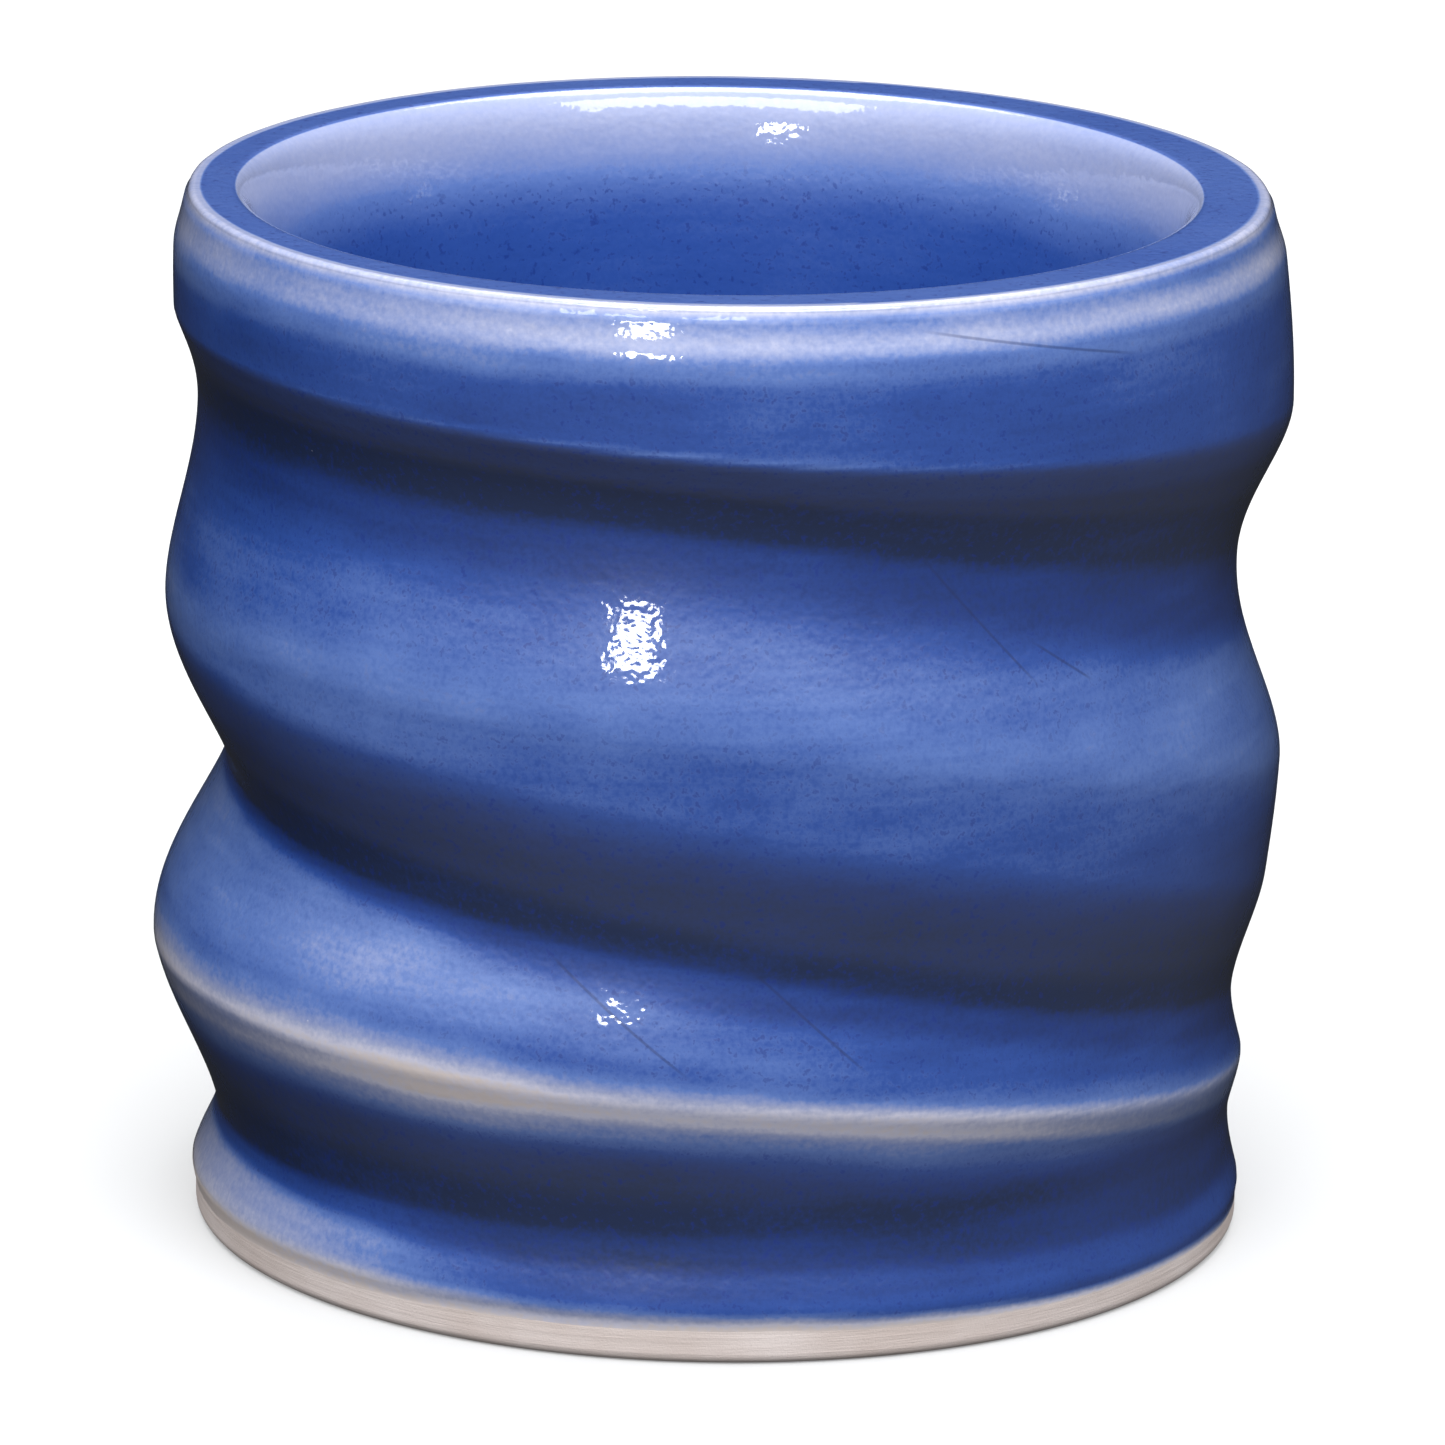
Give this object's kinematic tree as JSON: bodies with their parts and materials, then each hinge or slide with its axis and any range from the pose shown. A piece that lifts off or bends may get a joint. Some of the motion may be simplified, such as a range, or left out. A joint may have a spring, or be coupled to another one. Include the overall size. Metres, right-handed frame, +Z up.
{
  "type": "shaving mug",
  "caption": "Handleless thick-walled ceramic shaving mug with a helical finger groove, a tapering well, a flat rim and a bare clay foot.",
  "frame": {"origin": "middle of the base, on the plane that the mug stands on", "axes": "+Z up through the mouth, -Y towards the front, +X to the right seen from the front"},
  "size_m": [0.0917, 0.0903, 0.085],
  "materials": {
    "bare_clay": "matte fired clay, fine grain",
    "outside_glaze": "glossy cobalt blue glaze, paler where it breaks over edges",
    "liner_glaze": "glossy cobalt blue glaze"
  },
  "bodies": {
    "root": {"clay_body": "bare_clay", "outer_glaze": "outside_glaze", "inner_glaze": "liner_glaze"}
  },
  "joints": []
}
